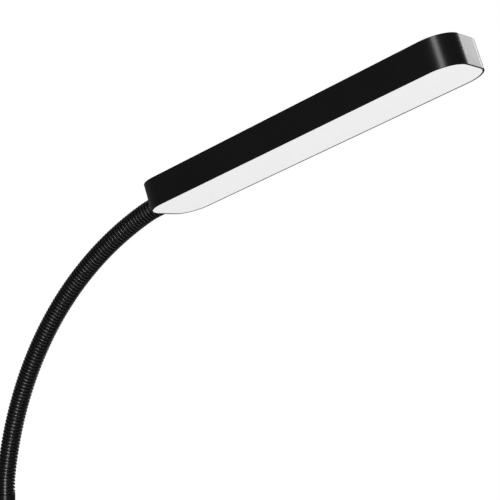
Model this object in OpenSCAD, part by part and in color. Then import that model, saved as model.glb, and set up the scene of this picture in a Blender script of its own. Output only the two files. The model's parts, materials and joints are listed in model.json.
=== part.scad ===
// Reading floor lamp: a round weighted base, a three-part pole with two push buttons near its top,
// a ribbed flexible neck, and a long flat head with a milky light window along its underside.
// Millimetres. The origin is on the floor below the pole, +Z is up and the neck leans towards +X.

/* [Base] */
// Diameter of the round base
base_d = 240; // [200:1:300]
// Thickness of the pressed cover's sheet
cover_wall = 1.5; // [1:0.1:2.5]
// Outer radius of the cover's rounded upper edge
cover_edge_r = 4; // [3:0.5:8]
// Gap between the floor and the cover's lower edge
cover_lift = 1.5; // [1:0.1:2.5]
// Thickness of the cast weight
weight_t = 14; // [14:0.5:24]
// Gap between the weight and the cover's inner wall
weight_gap = 3; // [2:0.5:6]
// Thickness of the anti-slip ring under the weight
pad_t = 3; // [2:0.5:5]
// Inner diameter of the anti-slip ring
pad_in_d = 124; // [80:1:140]
// Distance of the anti-slip ring from the weight's edge
pad_edge = 5.5; // [3:0.5:12]
// Diameter of the recess under the weight that holds the nut
recess_d = 40; // [32:1:60]
// Metal left in the weight above that recess
recess_roof = 4.5; // [3:0.5:8]
// Width of the wire channel under the weight
channel_w = 6; // [5:0.5:12]
// Depth of the wire channel under the weight
channel_h = 5; // [4.5:0.5:7]
// Diameter of the collar at its foot
collar_d = 34; // [30:1:60]
// Height of the collar that holds the pole's foot
collar_h = 14; // [10:0.5:30]
// Thickness of the collar's floor below the pole
collar_floor = 4; // [3:0.5:8]
// Wall of the collar at its upper edge
collar_lip = 2.9; // [2:0.1:5]
// Height of the collar's upright foot
collar_foot_h = 2; // [1:0.5:4]
// Diameter of the washer under the weight
washer_d = 30; // [24:1:36]
// Thickness of that washer
washer_t = 1.5; // [1:0.1:2.5]

/* [Supply inlet] */
// Diameter of the inlet's nose, seen in the cover's rear edge
jack_nose_d = 8; // [7.5:0.1:9]
// Diameter of the round hole that takes the supply's plug
jack_bore_d = 6.3; // [6:0.1:6.5]
// Diameter of the contact pin in the middle of the inlet
jack_pin_d = 2.1; // [2:0.1:2.5]
// Free length of the contact pin
jack_pin_l = 9; // [8:0.5:10]
// Height of the inlet's axis above the floor
jack_z = 9.5; // [8.5:0.5:11]
// Width of the inlet's body
jack_w = 11; // [9:0.5:14]
// Length of the inlet's body behind its nose
jack_l = 14; // [12:0.5:18]
// How far the inlet's nose stands out of the cover's edge
jack_stand = 0.4; // [0.2:0.1:1]
// Depth of the contact pin's end inside the nose
jack_pin_in = 1; // [0.5:0.1:2]
// Room between the inlet's body and the cover's inner wall
jack_room = 1.5; // [1:0.1:3]
// Length of the pocket in the weight that holds the inlet and the wire's bend
pocket_l = 33; // [30:1:40]
// Metal left in the weight above that pocket
pocket_roof = 2; // [1.5:0.1:3]

/* [Pole] */
// Outside diameter of the pole
pole_d = 19; // [18:0.5:25]
// Wall of the pole
pole_wall = 1; // [0.8:0.1:1.6]
// Length of each of the three pole sections
section_l = 330; // [200:1:400]
// Length of the threaded inserts pressed into the ends of the sections
insert_l = 15; // [14:0.5:30]
// Outside diameter of the hollow screws that join the sections
screw_d = 10; // [9:0.5:11]
// Bore of the hollow screws
screw_bore_d = 7; // [6:0.5:7.5]
// How far a hollow screw reaches into each insert
screw_reach = 12; // [8:0.5:13]
// Thickness of the thin nuts on the hollow screws
nut_t = 3; // [2:0.5:4]
// How much wider than its thread a nut is across its flats
nut_extra = 4; // [3:0.5:5]
// How far a hollow screw stands out of its nut
screw_end = 1; // [0.5:0.1:2]
// Radius that the wire bends at where it turns up into the pole
wire_bend_r = 6; // [5:0.5:6]
// Diameter of the two-core wire
wire_d = 3.2; // [2.4:0.1:3.4]

/* [Controls] */
// Diameter of the control housing
control_d = 26; // [25:0.5:34]
// Length of the control housing
control_l = 76; // [74:1:110]
// Wall of the control housing
control_wall = 1.5; // [1.2:0.1:2]
// Thickness of the housing's front in the middle, behind the buttons
control_front = 3.2; // [2.6:0.1:4]
// Depth of the socket that takes the pole's upper end
socket_h = 12; // [8:0.5:16]
// Thickness of the ledge that the pole's upper end stands against
ledge_t = 3; // [2.5:0.5:5]
// Diameter of a push button
button_d = 9; // [7:0.5:9.5]
// How far a button stands out of the housing at rest
button_stand = 1; // [0.6:0.1:2]
// Travel of a button
button_travel = 1; // [0.4:0.1:1.3]
// Distance between the two buttons
button_pitch = 20; // [16:1:24]
// How far the flange that keeps a button in the housing stands out round it
flange_step = 1.1; // [0.8:0.1:1.6]
// Thickness of that flange
flange_t = 1; // [0.8:0.1:1.4]
// Diameter of the stem behind a button
stem_d = 3.6; // [3:0.1:4.4]
// Length of the stem inside the switch
stem_in = 2.2; // [1.8:0.1:2.4]
// Side of a square switch body
switch_w = 8; // [6.5:0.5:9]
// Room between a pressed button's flange and the switch body
press_room = 0.7; // [0.3:0.1:1]
// Thickness of the circuit board
board_t = 1.6; // [1.2:0.1:2]
// Room between the circuit board's front edges and the housing's wall
board_edge = 1; // [0.8:0.1:1.5]
// Width of the rails' hold on each edge of the circuit board
rail_hold = 1; // [0.6:0.1:1.4]
// Thickness of a rail's cheek on each side of the board
rail_t = 1.4; // [1:0.1:2]
// Room between the circuit board and the nuts above and below it
board_end = 3; // [2:0.5:5]
// Diameter of the headless screws that lock the cap
cap_screw_d = 3; // [2:0.1:4]
// Length of those screws
cap_screw_l = 3.3; // [3:0.1:3.6]
// Thickness of the housing's cap, above the housing
cap_t = 4; // [3:0.5:8]
// Depth of the cap's spigot in the housing
spigot_h = 5; // [4:0.5:8]

/* [Neck] */
// Diameter over the neck's ribs
neck_d = 14.9; // [14.8:0.1:18]
// Distance from one rib to the next
rib_pitch = 2.9; // [2.7:0.05:4]
// Width of a rib at its foot
rib_w = 1.4; // [1:0.05:1.5]
// Height of a rib above the valley beside it
rib_h = 0.85; // [0.6:0.05:1.2]
// Thickness of the neck's skin between two ribs
skin_t = 0.5; // [0.4:0.05:0.8]
// Wall of the flexible core inside the skin
core_wall = 2.7; // [1:0.1:3.5]
// Lean of the lowest link from upright
first_tilt = 9.4; // [0:0.1:20]
// Lean of the highest link from upright
last_tilt = 62; // [30:0.1:80]
// Lean of the head from upright
head_tilt = 70.2; // [40:0.1:90]
// How far the ferrule's side lies inside the neck's ribs
ferrule_step = 0; // [0:0.05:0.4]
// Length of the ferrule
ferrule_l = 20; // [18:0.5:40]
// Depth of the neck's foot in the ferrule
neck_seat = 11; // [6:0.5:12]
// Depth of the tip's bore before its thread starts
tip_seat = 2.6; // [2.2:0.1:4]
// Outside diameter of the hollow screws at both ends of the neck
neck_screw_d = 8; // [7.5:0.1:8.5]
// Bore of those hollow screws
neck_screw_bore_d = 5.5; // [5.3:0.1:6]

/* [Head] */
// Length of the head
head_l = 252; // [180:1:320]
// Width of the head
head_w = 54.5; // [46:0.5:70]
// Height of the head
head_h = 20; // [18:0.5:26]
// Radius of the head's upright corners
head_r = 18; // [12:0.5:21]
// Thickness of the head's side walls above the light window
head_wall = 2.6; // [2:0.1:3]
// Width of the thin rim around the light window
rim_t = 1.3; // [0.8:0.1:1.6]
// Thickness of the head's roof
roof_t = 2; // [1.8:0.1:4]
// Height of the neck's axis above the head's underside
neck_axis_h = 8; // [7.8:0.1:9]
// Thickness of the milky light window
diffuser_t = 2; // [1.5:0.1:2]
// Thickness of the light board
led_board_t = 1.6; // [1:0.1:2]
// Diameter of the round nut inside the head
head_nut_d = 11.4; // [11:0.1:11.6]
// Room between that nut and the light board's end
board_from_nut = 0.4; // [0.2:0.1:2]
// Diameter of the light board's screws
board_screw_d = 2.5; // [2:0.1:3]
// Diameter of their heads
board_screw_head_d = 4.6; // [4:0.1:5.5]
// Height of their heads
board_screw_head_h = 1.2; // [1:0.1:2]
// Depth of those screws in the head's roof
board_screw_in_roof = 1.2; // [0.8:0.1:1.4]
// Distance of those screws from the light board's long edges
board_screw_edge = 3; // [2.5:0.5:5]
// Length of a light chip, along the head
chip_l = 3.5; // [2:0.1:5]
// Width of a light chip, across the head
chip_w = 2.8; // [2:0.1:5]
// Height of a light chip
chip_h = 0.8; // [0.6:0.1:1]
// Light chips in each row
chips = 24; // [12:2:30]
// Distance of each row of chips from the middle
chip_row_y = 9; // [7:0.5:12]
// Distance of the first and last chips from the head's ends
chip_end = 28; // [26:1:40]
// Distance of the wire's plug from the head's neck end
plug_from_end = 15; // [13:0.5:20]
// Thickness of the white reflector sheet
reflector_t = 0.4; // [0.3:0.1:0.5]

/* [Hidden] */
$fn = 72;
// Clearances: a sliding seat, a threaded or pressed seat, and room that lets two pieces pass
seat_gap = 0.1;
thread_gap = 0.05;
press_gap = 0.02;
pass_gap = 0.3;
// How far a threaded insert sits inside the end of its section
insert_set = 0.2;
// Room that the wire keeps on one side in the neck's hollow screw
wire_side = 0.15;
// Overcut that carries a hole past the faces it goes through
eps = 1;
// Small broken edge on turned pieces
edge = 0.6;

LINKS = 19;
RIBS_IN_LINK = 5;
RIBS_AT_END = 4;
LINK_NAMES = [for (k = [1:LINKS]) str("neck_link_", k < 10 ? "0" : "", k)];

BLACK = [0.07, 0.07, 0.075];
STEEL = [0.72, 0.73, 0.75];
IRON = [0.25, 0.25, 0.26];
GREEN = [0.10, 0.32, 0.20];
WHITE = [0.93, 0.94, 0.95];
PHOSPHOR = [0.95, 0.85, 0.45];

// Base heights and radii
weight_z = pad_t;
weight_top = weight_z + weight_t;
base_top = weight_top + cover_wall;
base_r = base_d / 2;
weight_r = base_r - max(cover_wall + weight_gap, cover_edge_r);
recess_top = weight_top - recess_roof;
screw_nut_af = screw_d + nut_extra;
base_nut_z = recess_top - washer_t - nut_t;
pole_z = base_top + collar_floor;

// Inlet places, as distances from the pole's axis towards -X
jack_mouth_x = base_r + jack_stand;
jack_floor_x = jack_mouth_x - jack_pin_in - jack_pin_l;
jack_front_x = base_r - cover_wall - jack_room;
jack_back_x = jack_front_x - jack_l;
jack_low = weight_z + 1;
pocket_top = weight_top - pocket_roof;

// Pole and control housing heights
pole_r = pole_d / 2;
insert_r = pole_r - pole_wall - press_gap;
screw_r = screw_d / 2;
pole_top = pole_z + 3 * section_l;
control_z = pole_top - socket_h;
control_r = control_d / 2;
control_bore_r = control_r - control_wall;
ledge_top = pole_top + ledge_t;
control_top = control_z + control_l;
spigot_z = control_top - spigot_h;
cap_top = control_top + cap_t;
ferrule_top = cap_top + ferrule_l;
board_low = ledge_top + nut_t + screw_end + board_end;
board_top = spigot_z - nut_t - board_end;
button_z = (board_low + board_top) / 2;
flange_d = button_d + 2 * flange_step;
// The flat behind the buttons, no further out than a flange fits between the housing's walls
front_x = min(control_r - control_front, sqrt(pow(control_bore_r, 2) - pow(flange_d / 2 + pass_gap, 2)));
flange_x = front_x - seat_gap;
// The wire runs as far behind the axis as the neck's hollow screw lets it, and the board stands before it
wire_r = wire_d / 2;
wire_x = wire_r + wire_side - neck_screw_bore_d / 2;
board_x = wire_x + wire_r + 4 * seat_gap;
switch_x = board_x + board_t;
switch_h = flange_x - flange_t - button_travel - press_room - switch_x;
stem_end = switch_x + switch_h - min(stem_in, switch_h / 2);
cap_screw_from = control_r - 2 * thread_gap - cap_screw_l - pass_gap;
// Distance of the wires' plugs from the board's ends
plug_in = 3;
board_w = 2 * (sqrt(pow(control_bore_r, 2) - pow(switch_x, 2)) - board_edge);

// Neck sizes
neck_screw_r = neck_screw_d / 2;
valley_r = neck_d / 2 - rib_h;
neck_bore_r = valley_r - skin_t;
core_r = neck_bore_r - seat_gap;
neck_nut_af = neck_screw_d + nut_extra + 1;
foot_r = valley_r - seat_gap / 2;
link_l = RIBS_IN_LINK * rib_pitch;
end_l = RIBS_AT_END * rib_pitch;
// Half of the gap that two neighbouring links leave between them
link_end = (rib_pitch - rib_w) / 2;
core_in_tip = tip_seat - 2 * pass_gap;
// Lean of each piece of the neck: its root, its links in even steps, and its tip in line with the head
tilts = concat([0], [for (k = [0:LINKS - 1]) first_tilt + (last_tilt - first_tilt) * k / (LINKS - 1)],
               [head_tilt]);
lengths = concat([end_l], [for (k = [1:LINKS]) link_l], [end_l]);
// Where each piece of the neck starts, and last where the neck enters the head
starts = [for (k = 0, p = [0, 0, ferrule_top]; k <= LINKS + 2;
               p = p + (k < LINKS + 2 ? lengths[k] * heading(tilts[k]) : [0, 0, 0]), k = k + 1) p];
neck_end = starts[LINKS + 2];

// Head heights above its underside
head_top = head_h - roof_t;
board_under = head_top - led_board_t;
reflector_z = board_under - reflector_t;
board_inset = head_wall + nut_t + board_from_nut;
connector = [10, 7, 4.4];
connector_z = board_under - connector[2];
board_screw_y = head_w / 2 - board_inset - board_screw_edge;
board_screw_x = chip_end + chip_l;

// Direction of a piece that leans by a angle from upright towards +X
function heading(a) = [sin(a), 0, cos(a)];
function unit(v) = v / norm(v);
// A quarter turn in the plane that the neck bends in
function turned(v) = [v[2], 0, -v[0]];
// Mean direction of a route at its point i, and the stretch that keeps a mitred tube's true width there
function along(p, i) =
    i == 0 ? unit(p[1] - p[0])
    : i == len(p) - 1 ? unit(p[i] - p[i - 1])
    : unit(unit(p[i] - p[i - 1]) + unit(p[i + 1] - p[i]));
function mitre(p, i) = i == 0 || i == len(p) - 1 ? 1 : 1 / (along(p, i) * unit(p[i] - p[i - 1]));
function ring(p, i, r, sides) =
    [for (k = [0:sides - 1]) let (a = 360 * (k + 0.5) / sides)
        p[i] + r * cos(a) * mitre(p, i) * turned(along(p, i)) + r * sin(a) * [0, 1, 0]];
function rings(p, r, sides) = [for (i = [0:len(p) - 1]) each ring(p, i, r, sides)];
// Two triangles on four corners given clockwise as seen from outside
function pair(a, b, c, d) = [[a, b, c], [a, c, d]];

// Solid round tube along a route in the XZ plane
module swept(p, r, sides) {
    n = len(p);
    polyhedron(rings(p, r, sides), concat(
        [for (i = [0:n - 2], k = [0:sides - 1]) let (a = i * sides, b = a + sides, m = (k + 1) % sides)
            each pair(a + k, b + k, b + m, a + m)],
        [for (k = [1:sides - 2]) [0, k, k + 1]],
        [for (k = [1:sides - 2]) let (b = (n - 1) * sides) [b, b + k + 1, b + k]]));
}

// Hollow round tube along a route in the XZ plane
module swept_tube(p, r, bore_r, sides) {
    n = len(p);
    inner = n * sides;
    end = (n - 1) * sides;
    polyhedron(concat(rings(p, r, sides), rings(p, bore_r, sides)), concat(
        [for (i = [0:n - 2], k = [0:sides - 1]) let (a = i * sides, b = a + sides, m = (k + 1) % sides)
            each pair(a + k, b + k, b + m, a + m)],
        [for (i = [0:n - 2], k = [0:sides - 1])
            let (a = inner + i * sides, b = a + sides, m = (k + 1) % sides)
            each pair(a + m, b + m, b + k, a + k)],
        [for (k = [0:sides - 1]) let (m = (k + 1) % sides) each pair(k, m, inner + m, inner + k)],
        [for (k = [0:sides - 1]) let (m = (k + 1) % sides)
            each pair(end + m, end + k, inner + end + k, inner + end + m)]));
}

// Round pieces with a bore, standing on z
module tube(d, bore_d, z, h) {
    translate([0, 0, z]) difference() {
        cylinder(d = d, h = h);
        translate([0, 0, -eps]) cylinder(d = bore_d, h = h + 2 * eps);
    }
}

// Turned tube with small broken edges at its two ends
module turned_tube(d, bore_d, z, h, low_edge, high_edge) {
    r = d / 2;
    b = bore_d / 2;
    translate([0, 0, z]) rotate_extrude() polygon([
        [b, 0], [r - low_edge, 0], [r, low_edge], [r, h - high_edge], [r - high_edge, h], [b, h]]);
}

// Hexagon nut, its flats square to Y
module hex_nut(af, bore_d, z, h) {
    translate([0, 0, z]) difference() {
        cylinder(d = af / cos(30), h = h, $fn = 6);
        translate([0, 0, -eps]) cylinder(d = bore_d, h = h + 2 * eps);
    }
}

// Round rod along X, from x0 to x1
module rod_x(d, x0, x1, y = 0, z = 0) {
    translate([x0, y, z]) rotate([0, 90, 0]) cylinder(d = d, h = x1 - x0);
}

module anti_slip_pad() {
    color(BLACK) tube(2 * (weight_r - pad_edge), pad_in_d, 0, pad_t);
}

// Cast disc with the nut's recess, the wire's channel and the inlet's pocket on its underside
module base_weight() {
    color(IRON) difference() {
        translate([0, 0, weight_z]) cylinder(r = weight_r, h = weight_t);
        translate([0, 0, weight_z - eps]) cylinder(d = screw_d + 2 * pass_gap, h = weight_t + 2 * eps);
        translate([0, 0, weight_z - eps]) cylinder(d = recess_d, h = recess_top - weight_z + eps);
        translate([-weight_r + pocket_l / 2, -channel_w / 2, weight_z - eps])
            cube([weight_r - pocket_l / 2, channel_w, channel_h + eps]);
        translate([-weight_r - eps, -jack_w / 2 - seat_gap, weight_z - eps])
            cube([pocket_l + eps, jack_w + 2 * seat_gap, pocket_top - weight_z + eps]);
    }
}

// Section of the cover's sheet, drawn in by a given inset
module cover_section(inset) {
    square([base_r - cover_edge_r, base_top - inset]);
    square([base_r - inset, base_top - cover_edge_r]);
    translate([base_r - cover_edge_r, base_top - cover_edge_r]) circle(r = cover_edge_r - inset);
}

module base_cover() {
    hole_r = screw_r + pass_gap;
    color(BLACK) difference() {
        rotate_extrude() difference() {
            cover_section(0);
            cover_section(cover_wall);
            square([hole_r, base_top + eps]);
            square([base_r + eps, cover_lift]);
        }
        rod_x(jack_nose_d + 2 * seat_gap, -base_r - eps, -base_r + cover_wall + eps, 0, jack_z);
    }
}

module base_washer() {
    color(STEEL) tube(washer_d, screw_d + 2 * pass_gap, recess_top - washer_t, washer_t);
}

module base_nut() {
    color(STEEL) hex_nut(screw_nut_af, screw_d + 2 * thread_gap, base_nut_z, nut_t);
}

// Hollow screw that pulls the pole's foot down on the base
module base_screw() {
    color(STEEL) tube(screw_d, screw_bore_d, base_nut_z, pole_z + screw_reach - base_nut_z);
}

// Turned collar with a socket for the pole's foot
module base_collar() {
    socket_r = pole_r + seat_gap;
    lip_r = socket_r + collar_lip;
    foot_r = collar_d / 2;
    color(BLACK) translate([0, 0, base_top]) rotate_extrude() polygon([
        [screw_r + pass_gap, 0], [foot_r, 0], [foot_r, collar_foot_h], [lip_r, collar_h - edge],
        [lip_r - edge, collar_h], [socket_r, collar_h], [socket_r, collar_floor],
        [screw_r + pass_gap, collar_floor]]);
}

// Supply inlet: a square body under the pocket's roof, with its round nose in the cover's edge
module dc_jack() {
    color(BLACK) difference() {
        union() {
            translate([-jack_front_x, -jack_w / 2, jack_low]) cube([jack_l, jack_w, pocket_top - jack_low]);
            rod_x(jack_nose_d, -jack_mouth_x, -jack_front_x + eps, 0, jack_z);
        }
        rod_x(jack_bore_d, -jack_mouth_x - eps, -jack_floor_x, 0, jack_z);
    }
}

module dc_jack_pin() {
    color(STEEL) rod_x(jack_pin_d, -jack_floor_x - jack_pin_l, -jack_floor_x, 0, jack_z);
}

// One pole section, counted from the floor
module pole_section(i) {
    color(BLACK) tube(pole_d, pole_d - 2 * pole_wall, pole_z + i * section_l, section_l);
}

module pole_lower() {
    pole_section(0);
}

module pole_middle() {
    pole_section(1);
}

module pole_upper() {
    pole_section(2);
}

// Threaded inserts pressed into both ends of every section, set just inside them
module pole_inserts() {
    far_z = section_l - insert_l - insert_set;
    color(STEEL) for (i = [0:2], z = [insert_set, far_z])
        tube(2 * insert_r, screw_d + 2 * thread_gap, pole_z + i * section_l + z, insert_l);
}

// Hollow screws between the sections, and the one that holds the control housing
module pole_screws() {
    color(STEEL) {
        for (i = [1:2])
            tube(screw_d, screw_bore_d, pole_z + i * section_l - screw_reach, 2 * screw_reach);
        tube(screw_d, screw_bore_d, pole_top - screw_reach, screw_reach + ledge_t + nut_t + screw_end);
    }
}

// Two-core wire from the inlet, through the weight's channel and up the pole to the circuit board
module supply_wire() {
    run_z = weight_z + channel_h / 2 - pass_gap;
    straight = 4;
    drop_l = 10;
    drop = [for (s = [0:4]) [straight - jack_back_x + drop_l * s / 4, 0,
                             jack_z + (run_z - jack_z) * (1 - cos(45 * s)) / 2]];
    rise = [for (s = [0:5]) let (a = 18 * s - 90)
               [wire_bend_r * (cos(a) - 1), 0, run_z + wire_bend_r * (1 + sin(a))]];
    top = [[0, 0, pole_top - screw_reach], [wire_x, 0, pole_top], [wire_x, 0, board_low + plug_in]];
    route = concat([[-jack_back_x, 0, jack_z]], drop, rise, top);
    color(BLACK) swept(route, wire_r, 8);
}

module control_nut() {
    color(STEEL) hex_nut(screw_nut_af, screw_d + 2 * thread_gap, ledge_top, nut_t);
}

// Turned and bored tube with a flat inside its front, two button holes and rails for the board
module control_housing() {
    color(BLACK) {
        difference() {
            turned_tube(control_d, screw_d + 2 * pass_gap, control_z, control_l, edge, edge / 2);
            translate([0, 0, control_z - eps]) cylinder(r = pole_r + seat_gap, h = socket_h + eps);
            translate([0, 0, spigot_z - eps]) cylinder(r = control_bore_r, h = spigot_h + 2 * eps);
            translate([0, 0, ledge_top]) intersection() {
                cylinder(r = control_bore_r, h = spigot_z - ledge_top);
                translate([-control_r, -control_r, 0])
                    cube([control_r + front_x, control_d, spigot_z - ledge_top]);
            }
            for (z = [-1, 1] * button_pitch / 2)
                rod_x(button_d + 2 * seat_gap, front_x - eps, control_r + eps, 0, button_z + z);
            at_cap_screws(0) cylinder(d = cap_screw_d + 2 * thread_gap, h = control_d);
        }
        for (s = [-1, 1]) board_rail(s);
    }
}

// Slotted rail that holds one edge of the circuit board, on side s of the housing
module board_rail(s) {
    slot = board_t + 2 * seat_gap;
    rail_y = board_w / 2 - rail_hold;
    low = ledge_top + nut_t;
    high = spigot_z - 2 * edge;
    intersection() {
        translate([0, 0, low]) cylinder(r = control_bore_r + control_wall / 2, h = high - low);
        difference() {
            translate([board_x - rail_t, s > 0 ? rail_y : -control_r, low])
                cube([board_t + 2 * rail_t, control_r - rail_y, high - low]);
            translate([board_x - seat_gap, -board_w / 2 - seat_gap, board_low])
                cube([slot, board_w + 2 * seat_gap, control_l]);
        }
    }
}

// Places of the two screws that lock the cap, a distance out from the axis, their Z outwards
module at_cap_screws(from) {
    for (s = [-1, 1])
        translate([0, s * from, control_top - spigot_h / 2]) rotate([-s * 90, 0, 0]) children();
}

module control_board() {
    color(GREEN) translate([board_x, -board_w / 2, board_low])
        cube([board_t, board_w, board_top - board_low]);
}

// Parts soldered to the circuit board: two wire plugs on its back, coil, capacitor and chip in front
module driver_parts() {
    plug = [4.5, 8, 7];
    coil = [3, 6, 6];
    chip = [1.2, 3, 4];
    chip_y = 5;
    capacitor_d = 4;
    capacitor_y = -6;
    color(WHITE) for (z = [board_low + plug_in, board_top - plug_in - plug[2]])
        translate([board_x - plug[0], -plug[1] / 2, z]) cube(plug);
    color(BLACK) {
        translate([switch_x, -coil[1] / 2, button_z - coil[2] / 2]) cube(coil);
        translate([switch_x, chip_y, button_z - chip[2] / 2]) cube(chip);
    }
    color(STEEL) rod_x(capacitor_d, switch_x, flange_x - flange_t - button_travel, capacitor_y, button_z);
}

// Square switch bodies on the board, each with a blind bore for a button's stem
module switch_bodies() {
    bore_x = stem_end - button_travel - seat_gap;
    color(STEEL) for (z = [-1, 1] * button_pitch / 2) translate([0, 0, button_z + z]) difference() {
        translate([switch_x, -switch_w / 2, -switch_w / 2]) cube([switch_h, switch_w, switch_w]);
        rod_x(stem_d + 2 * seat_gap, bore_x, switch_x + switch_h + eps);
    }
}

// Push button: a dished cap, a flange that keeps it in the housing, and a stem into its switch
module button(z) {
    cap_x = control_r + button_stand;
    dish_d = button_d - 2 * edge;
    dish_depth = 0.25;
    dish_r = (pow(dish_d / 2, 2) + pow(dish_depth, 2)) / (2 * dish_depth);
    difference() {
        union() {
            rod_x(button_d, flange_x - flange_t, cap_x, 0, z);
            rod_x(flange_d, flange_x - flange_t, flange_x, 0, z);
            rod_x(stem_d, stem_end, flange_x, 0, z);
        }
        translate([cap_x + dish_r - dish_depth, 0, z]) sphere(r = dish_r);
    }
}

module power_button() {
    color(STEEL) button(button_z + button_pitch / 2);
}

module mode_button() {
    color(STEEL) button(button_z - button_pitch / 2);
}

// Cap with a spigot in the housing and a hole for the ferrule's hollow screw
module control_cap() {
    hole_r = neck_screw_r + pass_gap;
    spigot_r = control_bore_r - seat_gap;
    top = spigot_h + cap_t;
    round = 2 * edge;
    color(BLACK) difference() {
        translate([0, 0, spigot_z]) rotate_extrude() polygon([
            [hole_r, 0], [spigot_r, 0], [spigot_r, spigot_h], [control_r, spigot_h],
            [control_r, top - round], [control_r - round, top], [hole_r, top]]);
        at_cap_screws(cap_screw_from - pass_gap)
            cylinder(d = cap_screw_d + 2 * thread_gap, h = control_r - cap_screw_from);
    }
}

// Two headless screws that lock the cap in the housing, with hexagon sockets
module cap_screws() {
    socket_h = cap_screw_l / 3;
    color(STEEL) at_cap_screws(cap_screw_from) difference() {
        cylinder(d = cap_screw_d, h = cap_screw_l);
        translate([0, 0, cap_screw_l - socket_h])
            cylinder(d = cap_screw_d / 2, h = socket_h + eps, $fn = 6);
    }
}

// Turned ferrule: a socket for the neck's foot above, and a thread for the hollow screw below
module ferrule() {
    seat_r = foot_r + press_gap;
    thread_r = neck_screw_r + thread_gap;
    r = neck_d / 2 - ferrule_step;
    shoulder = ferrule_l - neck_seat - pass_gap;
    color(BLACK) translate([0, 0, cap_top]) rotate_extrude() polygon([
        [thread_r, 0], [r, 0], [r, ferrule_l - edge / 2], [r - edge / 2, ferrule_l],
        [seat_r, ferrule_l], [seat_r, shoulder], [thread_r, shoulder]]);
}

module ferrule_screw() {
    low = spigot_z - nut_t - screw_end;
    color(STEEL) tube(neck_screw_d, neck_screw_bore_d, low, ferrule_top - neck_seat - 2 * pass_gap - low);
}

module ferrule_nut() {
    color(STEEL) hex_nut(neck_nut_af, neck_screw_d + 2 * thread_gap, spigot_z - nut_t, nut_t);
}

// Outline of a row of ribs beside the axis, as points [radius, height]; half a pitch lies before the first
function rib_points(n) =
    [for (j = [0:n - 1], a = [0:45:180])
        [valley_r + rib_h * sin(a), (j + 0.5) * rib_pitch - rib_w / 2 * cos(a)]];

// Foot of the neck: four ribs above the ferrule and a plain spigot inside it
module neck_root() {
    color(BLACK) translate(starts[0]) rotate_extrude() polygon(concat(
        [[neck_bore_r, -neck_seat], [foot_r, -neck_seat], [foot_r, 0], [valley_r, 0]],
        rib_points(RIBS_AT_END), [[neck_bore_r, end_l - link_end]]));
}

// One link of the neck: five ribs on a short sleeve, leaning as the neck does there
module neck_link(k) {
    color(BLACK) translate(starts[k]) rotate([0, tilts[k], 0]) rotate_extrude() polygon(concat(
        [[neck_bore_r, link_end]], rib_points(RIBS_IN_LINK), [[neck_bore_r, link_l - link_end]]));
}

// Last piece of the neck: four ribs up to the head's end wall, with a thread for the head's hollow screw
module neck_tip() {
    thread_r = neck_screw_r + thread_gap;
    color(BLACK) translate(starts[LINKS + 1]) rotate([0, head_tilt, 0]) rotate_extrude() polygon(concat(
        [[neck_bore_r, link_end]], rib_points(RIBS_AT_END),
        [[valley_r, end_l], [thread_r, end_l], [thread_r, tip_seat], [neck_bore_r, tip_seat]]));
}

// Flexible core that carries the ribs and bends with them
module neck_core() {
    low = ferrule_top - neck_seat;
    route = concat([[0, 0, low]], [for (k = [1:LINKS + 1]) starts[k]],
                   [starts[LINKS + 1] + core_in_tip * heading(head_tilt)]);
    color(STEEL) swept_tube(route, core_r, core_r - core_wall, 16);
}

// Two-core wire from the circuit board, up the ferrule's screw and through the whole neck into the head
module lamp_wire() {
    straight = 2;
    out = head_wall + nut_t + straight;
    level = plug_from_end - straight + 2 * pass_gap;
    mid_z = connector_z + connector[2] / 2;
    climb = [for (s = [0:5]) [out + (level - out) * s / 5,
                              neck_axis_h + (mid_z - neck_axis_h) * (1 - cos(36 * s)) / 2]];
    route = concat([[wire_x, 0, board_top - plug_in], [wire_x, 0, spigot_z], [0, 0, cap_top + straight]],
                   [for (k = [1:LINKS + 1]) starts[k]],
                   [for (p = concat(climb, [[plug_from_end, mid_z]])) head_point(p[0], p[1])]);
    color(BLACK) swept(route, wire_r, 8);
}

// Point of the head's middle plane, x along the head and z above its underside
function head_point(x, z) =
    neck_end + x * heading(head_tilt) + (neck_axis_h - z) * turned(heading(head_tilt));

// Places its children in the head: x along it from its neck end, z up from its underside
module in_head() {
    translate(neck_end) rotate([0, head_tilt - 90, 0]) translate([0, 0, -neck_axis_h]) children();
}

// Slab with the head's outline drawn in by an inset, between two heights
module slab(inset, z0, z1) {
    translate([head_l / 2, 0, z0]) linear_extrude(z1 - z0) {
        square([head_l - 2 * inset, head_w - 2 * head_r], center = true);
        square([head_l - 2 * head_r, head_w - 2 * inset], center = true);
        for (x = [-1, 1], y = [-1, 1])
            translate([x * (head_l / 2 - head_r), y * (head_w / 2 - head_r)]) circle(r = head_r - inset);
    }
}

// Places of the light board's screws
module at_board_screws() {
    for (x = [board_screw_x, head_l / 2, head_l - board_screw_x], y = [-1, 1])
        translate([x, y * board_screw_y, 0]) children();
}

// Hollow screw that holds the head on the neck
module head_screw() {
    reach = end_l - tip_seat - pass_gap;
    color(STEEL) in_head() translate([-reach, 0, neck_axis_h]) rotate([0, 90, 0])
        tube(neck_screw_d, neck_screw_bore_d, 0, reach + head_wall + nut_t + screw_end);
}

// Round slotted nut on that screw, inside the head
module head_nut() {
    slot_w = 1.2;
    slot_h = 1;
    color(STEEL) in_head() translate([head_wall, 0, neck_axis_h]) rotate([0, 90, 0]) difference() {
        tube(head_nut_d, neck_screw_d + 2 * thread_gap, 0, nut_t);
        translate([-head_nut_d, -slot_w / 2, nut_t - slot_h]) cube([2 * head_nut_d, slot_w, slot_h + eps]);
    }
}

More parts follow.
